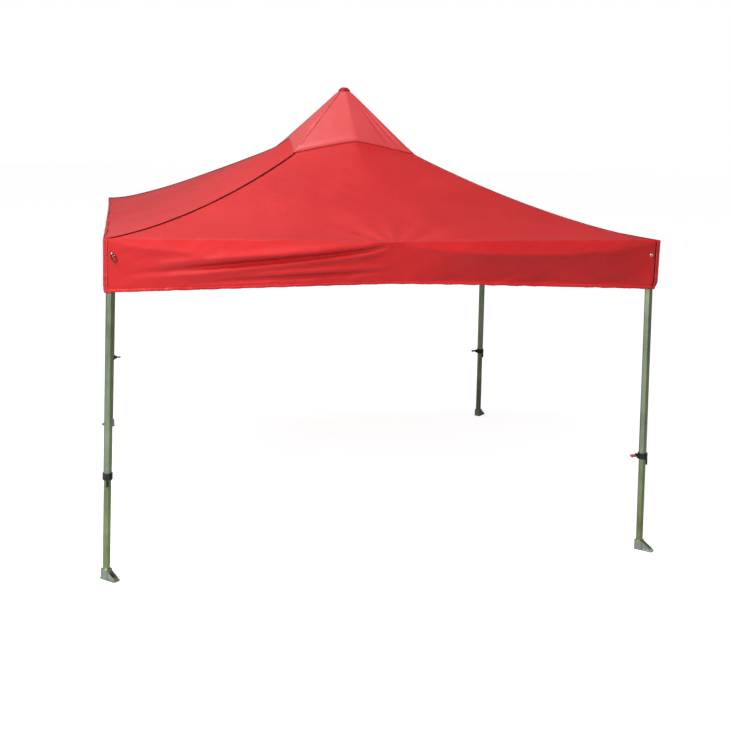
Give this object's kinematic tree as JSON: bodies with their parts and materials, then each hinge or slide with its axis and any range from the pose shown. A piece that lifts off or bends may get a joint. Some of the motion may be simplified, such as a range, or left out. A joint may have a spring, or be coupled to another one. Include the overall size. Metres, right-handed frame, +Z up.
{
  "type": "pop up canopy",
  "caption": "Square pop up canopy with a pointed red cloth roof, a hanging valance, a folding scissor frame and height-adjusting telescopic legs.",
  "frame": {"origin": "on the ground, in the middle of the four feet", "axes": "+Z up, -Y the front, +X to the right seen from the front"},
  "size_m": [3.688, 3.688, 3.0848],
  "materials": {
    "canopy_cloth": "coated polyester, satin",
    "upper_leg_metal": "satin anodised",
    "lower_leg_metal": "satin anodised",
    "truss_metal": "satin",
    "foot_metal": "zinc plated",
    "pole_metal": "satin",
    "black_plastic": "moulded"
  },
  "bodies": {
    "upper_hub": {"upper_hub": "black_plastic"},
    "lower_hub": {"lower_hub": "black_plastic", "centre_pole": "pole_metal"},
    "peak_rod": {"peak_rod": "pole_metal"},
    "arm_down_front": {"arm_bar_down_front": "truss_metal"},
    "arm_up_front": {"arm_bar_up_front": "truss_metal"},
    "mid_bottom_front": {"mid_connector_bottom_front": "black_plastic"},
    "mid_top_front": {"mid_connector_top_front": "black_plastic"},
    "side_up_front_l": {"side_bar_up_front_l": "truss_metal"},
    "side_down_front_l": {"side_bar_down_front_l": "truss_metal"},
    "side_up_front_r": {"side_bar_up_front_r": "truss_metal"},
    "side_down_front_r": {"side_bar_down_front_r": "truss_metal"},
    "roof_front": {"roof_front": "canopy_cloth"},
    "leg_front_left": {"upper_leg_front_left": "upper_leg_metal"},
    "slider_front_left": {"slider_front_left": "black_plastic"},
    "lower_leg_front_left": {"lower_leg_front_left": "lower_leg_metal", "foot_front_left": "foot_metal"},
    "lever_front_left": {"release_lever_front_left": "black_plastic"},
    "arm_down_right": {"arm_bar_down_right": "truss_metal"},
    "arm_up_right": {"arm_bar_up_right": "truss_metal"},
    "mid_bottom_right": {"mid_connector_bottom_right": "black_plastic"},
    "mid_top_right": {"mid_connector_top_right": "black_plastic"},
    "side_up_right_l": {"side_bar_up_right_l": "truss_metal"},
    "side_down_right_l": {"side_bar_down_right_l": "truss_metal"},
    "side_up_right_r": {"side_bar_up_right_r": "truss_metal"},
    "side_down_right_r": {"side_bar_down_right_r": "truss_metal"},
    "roof_right": {"roof_right": "canopy_cloth"},
    "leg_front_right": {"upper_leg_front_right": "upper_leg_metal"},
    "slider_front_right": {"slider_front_right": "black_plastic"},
    "lower_leg_front_right": {"lower_leg_front_right": "lower_leg_metal", "foot_front_right": "foot_metal"},
    "lever_front_right": {"release_lever_front_right": "black_plastic"},
    "arm_down_back": {"arm_bar_down_back": "truss_metal"},
    "arm_up_back": {"arm_bar_up_back": "truss_metal"},
    "mid_bottom_back": {"mid_connector_bottom_back": "black_plastic"},
    "mid_top_back": {"mid_connector_top_back": "black_plastic"},
    "side_up_back_l": {"side_bar_up_back_l": "truss_metal"},
    "side_down_back_l": {"side_bar_down_back_l": "truss_metal"},
    "side_up_back_r": {"side_bar_up_back_r": "truss_metal"},
    "side_down_back_r": {"side_bar_down_back_r": "truss_metal"},
    "roof_back": {"roof_back": "canopy_cloth"},
    "leg_back_right": {"upper_leg_back_right": "upper_leg_metal"},
    "slider_back_right": {"slider_back_right": "black_plastic"},
    "lower_leg_back_right": {"lower_leg_back_right": "lower_leg_metal", "foot_back_right": "foot_metal"},
    "lever_back_right": {"release_lever_back_right": "black_plastic"},
    "arm_down_left": {"arm_bar_down_left": "truss_metal"},
    "arm_up_left": {"arm_bar_up_left": "truss_metal"},
    "mid_bottom_left": {"mid_connector_bottom_left": "black_plastic"},
    "mid_top_left": {"mid_connector_top_left": "black_plastic"},
    "side_up_left_l": {"side_bar_up_left_l": "truss_metal"},
    "side_down_left_l": {"side_bar_down_left_l": "truss_metal"},
    "side_up_left_r": {"side_bar_up_left_r": "truss_metal"},
    "side_down_left_r": {"side_bar_down_left_r": "truss_metal"},
    "roof_left": {"roof_left": "canopy_cloth"},
    "leg_back_left": {"upper_leg_back_left": "upper_leg_metal"},
    "slider_back_left": {"slider_back_left": "black_plastic"},
    "lower_leg_back_left": {"lower_leg_back_left": "lower_leg_metal", "foot_back_left": "foot_metal"},
    "lever_back_left": {"release_lever_back_left": "black_plastic"}
  },
  "joints": [
    {"name": "fold", "type": "hinge", "parent": "upper_hub", "child": "arm_down_front", "pos_m": [0, -0.05, 2.02], "axis": [1, 0, 0], "range_deg": [0, 76.5]},
    {"name": "arm_cross_front", "type": "hinge", "parent": "arm_down_front", "child": "arm_up_front", "pos_m": [0, -0.70128, 1.9503], "axis": [1, 0, 0], "range_deg": [-156, 0]},
    {"name": "mid_bottom_turn_front", "type": "hinge", "parent": "arm_down_front", "child": "mid_bottom_front", "pos_m": [0, -1.732, 1.84], "axis": [1, 0, 0], "range_deg": [-79.5, 0]},
    {"name": "mid_top_turn_front", "type": "hinge", "parent": "arm_up_front", "child": "mid_top_front", "pos_m": [0, -1.732, 2.06061], "axis": [1, 0, 0], "range_deg": [0, 79.5]},
    {"name": "lower_hub_turn", "type": "hinge", "parent": "arm_up_front", "child": "lower_hub", "pos_m": [0, -0.05, 1.88061], "axis": [1, 0, 0], "range_deg": [0, 79.5]},
    {"name": "side_up_front_l_turn", "type": "hinge", "parent": "mid_top_front", "child": "side_up_front_l", "pos_m": [-0.03, -1.762, 2.06061], "axis": [0, -1, 0], "range_deg": [0, 79.5]},
    {"name": "side_cross_front_l", "type": "hinge", "parent": "side_up_front_l", "child": "side_down_front_l", "pos_m": [-1.06072, -1.762, 1.9503], "axis": [0, -1, 0], "range_deg": [-156, 0]},
    {"name": "side_up_front_r_turn", "type": "hinge", "parent": "mid_top_front", "child": "side_up_front_r", "pos_m": [0.03, -1.762, 2.06061], "axis": [0, -1, 0], "range_deg": [-79.5, 0]},
    {"name": "side_cross_front_r", "type": "hinge", "parent": "side_up_front_r", "child": "side_down_front_r", "pos_m": [1.06072, -1.762, 1.9503], "axis": [0, -1, 0], "range_deg": [0, 156]},
    {"name": "leg_turn_front_left", "type": "hinge", "parent": "side_down_front_l", "child": "leg_front_left", "pos_m": [-1.712, -1.762, 2.02], "axis": [0, -1, 0], "range_deg": [0, 79.5]},
    {"name": "slider_turn_front_left", "type": "hinge", "parent": "side_up_front_l", "child": "slider_front_left", "pos_m": [-1.712, -1.762, 1.88061], "axis": [0, -1, 0], "range_deg": [-79.5, 0]},
    {"name": "roof_turn_front", "type": "hinge", "parent": "mid_top_front", "child": "roof_front", "pos_m": [0, -1.797, 2.095], "axis": [1, 0, 0], "range_deg": [-111, 0], "deforming": ["roof_front"]},
    {"name": "leg_height_front_left", "type": "slide", "parent": "leg_front_left", "child": "lower_leg_front_left", "axis": [0, 0, 1], "range_m": [-0.12, 0.28]},
    {"name": "lever_front_left", "type": "hinge", "parent": "leg_front_left", "child": "lever_front_left", "pos_m": [-1.762, -1.723, 0.638], "axis": [1, 0, 0], "range_deg": [0, 35], "stiffness_Nm_per_rad": 0.6, "springref_deg": -5.73},
    {"name": "arm_down_turn_right", "type": "hinge", "parent": "upper_hub", "child": "arm_down_right", "pos_m": [0.05, 0, 2.02], "axis": [0, 1, 0], "range_deg": [0, 79.5]},
    {"name": "arm_cross_right", "type": "hinge", "parent": "arm_down_right", "child": "arm_up_right", "pos_m": [0.70128, 0, 1.9503], "axis": [0, 1, 0], "range_deg": [-156, 0]},
    {"name": "mid_bottom_turn_right", "type": "hinge", "parent": "arm_down_right", "child": "mid_bottom_right", "pos_m": [1.732, 0, 1.84], "axis": [0, 1, 0], "range_deg": [-79.5, 0]},
    {"name": "mid_top_turn_right", "type": "hinge", "parent": "arm_up_right", "child": "mid_top_right", "pos_m": [1.732, 0, 2.06061], "axis": [0, 1, 0], "range_deg": [0, 79.5]},
    {"name": "side_up_right_l_turn", "type": "hinge", "parent": "mid_top_right", "child": "side_up_right_l", "pos_m": [1.762, -0.03, 2.06061], "axis": [1, 0, 0], "range_deg": [0, 79.5]},
    {"name": "side_cross_right_l", "type": "hinge", "parent": "side_up_right_l", "child": "side_down_right_l", "pos_m": [1.762, -1.06072, 1.9503], "axis": [1, 0, 0], "range_deg": [-156, 0]},
    {"name": "side_up_right_r_turn", "type": "hinge", "parent": "mid_top_right", "child": "side_up_right_r", "pos_m": [1.762, 0.03, 2.06061], "axis": [1, 0, 0], "range_deg": [-79.5, 0]},
    {"name": "side_cross_right_r", "type": "hinge", "parent": "side_up_right_r", "child": "side_down_right_r", "pos_m": [1.762, 1.06072, 1.9503], "axis": [1, 0, 0], "range_deg": [0, 156]},
    {"name": "leg_turn_front_right", "type": "hinge", "parent": "side_down_right_l", "child": "leg_front_right", "pos_m": [1.762, -1.712, 2.02], "axis": [1, 0, 0], "range_deg": [0, 79.5]},
    {"name": "slider_turn_front_right", "type": "hinge", "parent": "side_up_right_l", "child": "slider_front_right", "pos_m": [1.762, -1.712, 1.88061], "axis": [1, 0, 0], "range_deg": [-79.5, 0]},
    {"name": "roof_turn_right", "type": "hinge", "parent": "mid_top_right", "child": "roof_right", "pos_m": [1.797, 0, 2.095], "axis": [0, 1, 0], "range_deg": [-111, 0], "deforming": ["roof_right"]},
    {"name": "leg_height_front_right", "type": "slide", "parent": "leg_front_right", "child": "lower_leg_front_right", "axis": [0, 0, 1], "range_m": [-0.12, 0.28]},
    {"name": "lever_front_right", "type": "hinge", "parent": "leg_front_right", "child": "lever_front_right", "pos_m": [1.723, -1.762, 0.638], "axis": [0, 1, 0], "range_deg": [0, 35], "stiffness_Nm_per_rad": 0.6, "springref_deg": -5.73},
    {"name": "arm_down_turn_back", "type": "hinge", "parent": "upper_hub", "child": "arm_down_back", "pos_m": [0, 0.05, 2.02], "axis": [-1, 0, 0], "range_deg": [0, 79.5]},
    {"name": "arm_cross_back", "type": "hinge", "parent": "arm_down_back", "child": "arm_up_back", "pos_m": [0, 0.70128, 1.9503], "axis": [-1, 0, 0], "range_deg": [-156, 0]},
    {"name": "mid_bottom_turn_back", "type": "hinge", "parent": "arm_down_back", "child": "mid_bottom_back", "pos_m": [0, 1.732, 1.84], "axis": [-1, 0, 0], "range_deg": [-79.5, 0]},
    {"name": "mid_top_turn_back", "type": "hinge", "parent": "arm_up_back", "child": "mid_top_back", "pos_m": [0, 1.732, 2.06061], "axis": [-1, 0, 0], "range_deg": [0, 79.5]},
    {"name": "side_up_back_l_turn", "type": "hinge", "parent": "mid_top_back", "child": "side_up_back_l", "pos_m": [0.03, 1.762, 2.06061], "axis": [0, 1, 0], "range_deg": [0, 79.5]},
    {"name": "side_cross_back_l", "type": "hinge", "parent": "side_up_back_l", "child": "side_down_back_l", "pos_m": [1.06072, 1.762, 1.9503], "axis": [0, 1, 0], "range_deg": [-156, 0]},
    {"name": "side_up_back_r_turn", "type": "hinge", "parent": "mid_top_back", "child": "side_up_back_r", "pos_m": [-0.03, 1.762, 2.06061], "axis": [0, 1, 0], "range_deg": [-79.5, 0]},
    {"name": "side_cross_back_r", "type": "hinge", "parent": "side_up_back_r", "child": "side_down_back_r", "pos_m": [-1.06072, 1.762, 1.9503], "axis": [0, 1, 0], "range_deg": [0, 156]},
    {"name": "leg_turn_back_right", "type": "hinge", "parent": "side_down_back_l", "child": "leg_back_right", "pos_m": [1.712, 1.762, 2.02], "axis": [0, 1, 0], "range_deg": [0, 79.5]},
    {"name": "slider_turn_back_right", "type": "hinge", "parent": "side_up_back_l", "child": "slider_back_right", "pos_m": [1.712, 1.762, 1.88061], "axis": [0, 1, 0], "range_deg": [-79.5, 0]},
    {"name": "roof_turn_back", "type": "hinge", "parent": "mid_top_back", "child": "roof_back", "pos_m": [0, 1.797, 2.095], "axis": [-1, 0, 0], "range_deg": [-111, 0], "deforming": ["roof_back"]},
    {"name": "leg_height_back_right", "type": "slide", "parent": "leg_back_right", "child": "lower_leg_back_right", "axis": [0, 0, 1], "range_m": [-0.12, 0.28]},
    {"name": "lever_back_right", "type": "hinge", "parent": "leg_back_right", "child": "lever_back_right", "pos_m": [1.723, 1.762, 0.638], "axis": [0, 1, 0], "range_deg": [0, 35], "stiffness_Nm_per_rad": 0.6, "springref_deg": -5.73},
    {"name": "arm_down_turn_left", "type": "hinge", "parent": "upper_hub", "child": "arm_down_left", "pos_m": [-0.05, 0, 2.02], "axis": [0, -1, 0], "range_deg": [0, 79.5]},
    {"name": "arm_cross_left", "type": "hinge", "parent": "arm_down_left", "child": "arm_up_left", "pos_m": [-0.70128, 0, 1.9503], "axis": [0, -1, 0], "range_deg": [-156, 0]},
    {"name": "mid_bottom_turn_left", "type": "hinge", "parent": "arm_down_left", "child": "mid_bottom_left", "pos_m": [-1.732, 0, 1.84], "axis": [0, -1, 0], "range_deg": [-79.5, 0]},
    {"name": "mid_top_turn_left", "type": "hinge", "parent": "arm_up_left", "child": "mid_top_left", "pos_m": [-1.732, 0, 2.06061], "axis": [0, -1, 0], "range_deg": [0, 79.5]},
    {"name": "side_up_left_l_turn", "type": "hinge", "parent": "mid_top_left", "child": "side_up_left_l", "pos_m": [-1.762, 0.03, 2.06061], "axis": [-1, 0, 0], "range_deg": [0, 79.5]},
    {"name": "side_cross_left_l", "type": "hinge", "parent": "side_up_left_l", "child": "side_down_left_l", "pos_m": [-1.762, 1.06072, 1.9503], "axis": [-1, 0, 0], "range_deg": [-156, 0]},
    {"name": "side_up_left_r_turn", "type": "hinge", "parent": "mid_top_left", "child": "side_up_left_r", "pos_m": [-1.762, -0.03, 2.06061], "axis": [-1, 0, 0], "range_deg": [-79.5, 0]},
    {"name": "side_cross_left_r", "type": "hinge", "parent": "side_up_left_r", "child": "side_down_left_r", "pos_m": [-1.762, -1.06072, 1.9503], "axis": [-1, 0, 0], "range_deg": [0, 156]},
    {"name": "leg_turn_back_left", "type": "hinge", "parent": "side_down_left_l", "child": "leg_back_left", "pos_m": [-1.762, 1.712, 2.02], "axis": [-1, 0, 0], "range_deg": [0, 79.5]},
    {"name": "slider_turn_back_left", "type": "hinge", "parent": "side_up_left_l", "child": "slider_back_left", "pos_m": [-1.762, 1.712, 1.88061], "axis": [-1, 0, 0], "range_deg": [-79.5, 0]},
    {"name": "roof_turn_left", "type": "hinge", "parent": "mid_top_left", "child": "roof_left", "pos_m": [-1.797, 0, 2.095], "axis": [0, -1, 0], "range_deg": [-111, 0], "deforming": ["roof_left"]},
    {"name": "leg_height_back_left", "type": "slide", "parent": "leg_back_left", "child": "lower_leg_back_left", "axis": [0, 0, 1], "range_m": [-0.12, 0.28]},
    {"name": "lever_back_left", "type": "hinge", "parent": "leg_back_left", "child": "lever_back_left", "pos_m": [-1.723, 1.762, 0.638], "axis": [0, -1, 0], "range_deg": [0, 35], "stiffness_Nm_per_rad": 0.6, "springref_deg": -5.73},
    {"name": "peak_rod_slide", "type": "slide", "parent": "lower_hub", "child": "peak_rod", "axis": [0, 0, 1], "range_m": [0, 0.22]}
  ],
  "couplings": [
    {"joint": "arm_cross_front", "follows": "fold", "ratio": -2},
    {"joint": "mid_bottom_turn_front", "follows": "fold", "ratio": -1},
    {"joint": "mid_top_turn_front", "follows": "fold", "ratio": 1},
    {"joint": "lower_hub_turn", "follows": "fold", "ratio": 1},
    {"joint": "side_up_front_l_turn", "follows": "fold", "ratio": 1},
    {"joint": "side_cross_front_l", "follows": "fold", "ratio": -2},
    {"joint": "side_up_front_r_turn", "follows": "fold", "ratio": -1},
    {"joint": "side_cross_front_r", "follows": "fold", "ratio": 2},
    {"joint": "leg_turn_front_left", "follows": "fold", "ratio": 1},
    {"joint": "slider_turn_front_left", "follows": "fold", "ratio": -1},
    {"joint": "roof_turn_front", "follows": "fold", "ratio": -1.4118},
    {"joint": "arm_down_turn_right", "follows": "fold", "ratio": 1},
    {"joint": "arm_cross_right", "follows": "fold", "ratio": -2},
    {"joint": "mid_bottom_turn_right", "follows": "fold", "ratio": -1},
    {"joint": "mid_top_turn_right", "follows": "fold", "ratio": 1},
    {"joint": "side_up_right_l_turn", "follows": "fold", "ratio": 1},
    {"joint": "side_cross_right_l", "follows": "fold", "ratio": -2},
    {"joint": "side_up_right_r_turn", "follows": "fold", "ratio": -1},
    {"joint": "side_cross_right_r", "follows": "fold", "ratio": 2},
    {"joint": "leg_turn_front_right", "follows": "fold", "ratio": 1},
    {"joint": "slider_turn_front_right", "follows": "fold", "ratio": -1},
    {"joint": "roof_turn_right", "follows": "fold", "ratio": -1.4118},
    {"joint": "arm_down_turn_back", "follows": "fold", "ratio": 1},
    {"joint": "arm_cross_back", "follows": "fold", "ratio": -2},
    {"joint": "mid_bottom_turn_back", "follows": "fold", "ratio": -1},
    {"joint": "mid_top_turn_back", "follows": "fold", "ratio": 1},
    {"joint": "side_up_back_l_turn", "follows": "fold", "ratio": 1},
    {"joint": "side_cross_back_l", "follows": "fold", "ratio": -2},
    {"joint": "side_up_back_r_turn", "follows": "fold", "ratio": -1},
    {"joint": "side_cross_back_r", "follows": "fold", "ratio": 2},
    {"joint": "leg_turn_back_right", "follows": "fold", "ratio": 1},
    {"joint": "slider_turn_back_right", "follows": "fold", "ratio": -1},
    {"joint": "roof_turn_back", "follows": "fold", "ratio": -1.4118},
    {"joint": "arm_down_turn_left", "follows": "fold", "ratio": 1},
    {"joint": "arm_cross_left", "follows": "fold", "ratio": -2},
    {"joint": "mid_bottom_turn_left", "follows": "fold", "ratio": -1},
    {"joint": "mid_top_turn_left", "follows": "fold", "ratio": 1},
    {"joint": "side_up_left_l_turn", "follows": "fold", "ratio": 1},
    {"joint": "side_cross_left_l", "follows": "fold", "ratio": -2},
    {"joint": "side_up_left_r_turn", "follows": "fold", "ratio": -1},
    {"joint": "side_cross_left_r", "follows": "fold", "ratio": 2},
    {"joint": "leg_turn_back_left", "follows": "fold", "ratio": 1},
    {"joint": "slider_turn_back_left", "follows": "fold", "ratio": -1},
    {"joint": "roof_turn_left", "follows": "fold", "ratio": -1.4118},
    {"joint": "peak_rod_slide", "follows": "fold", "m_per_rad": 0.15728}
  ]
}
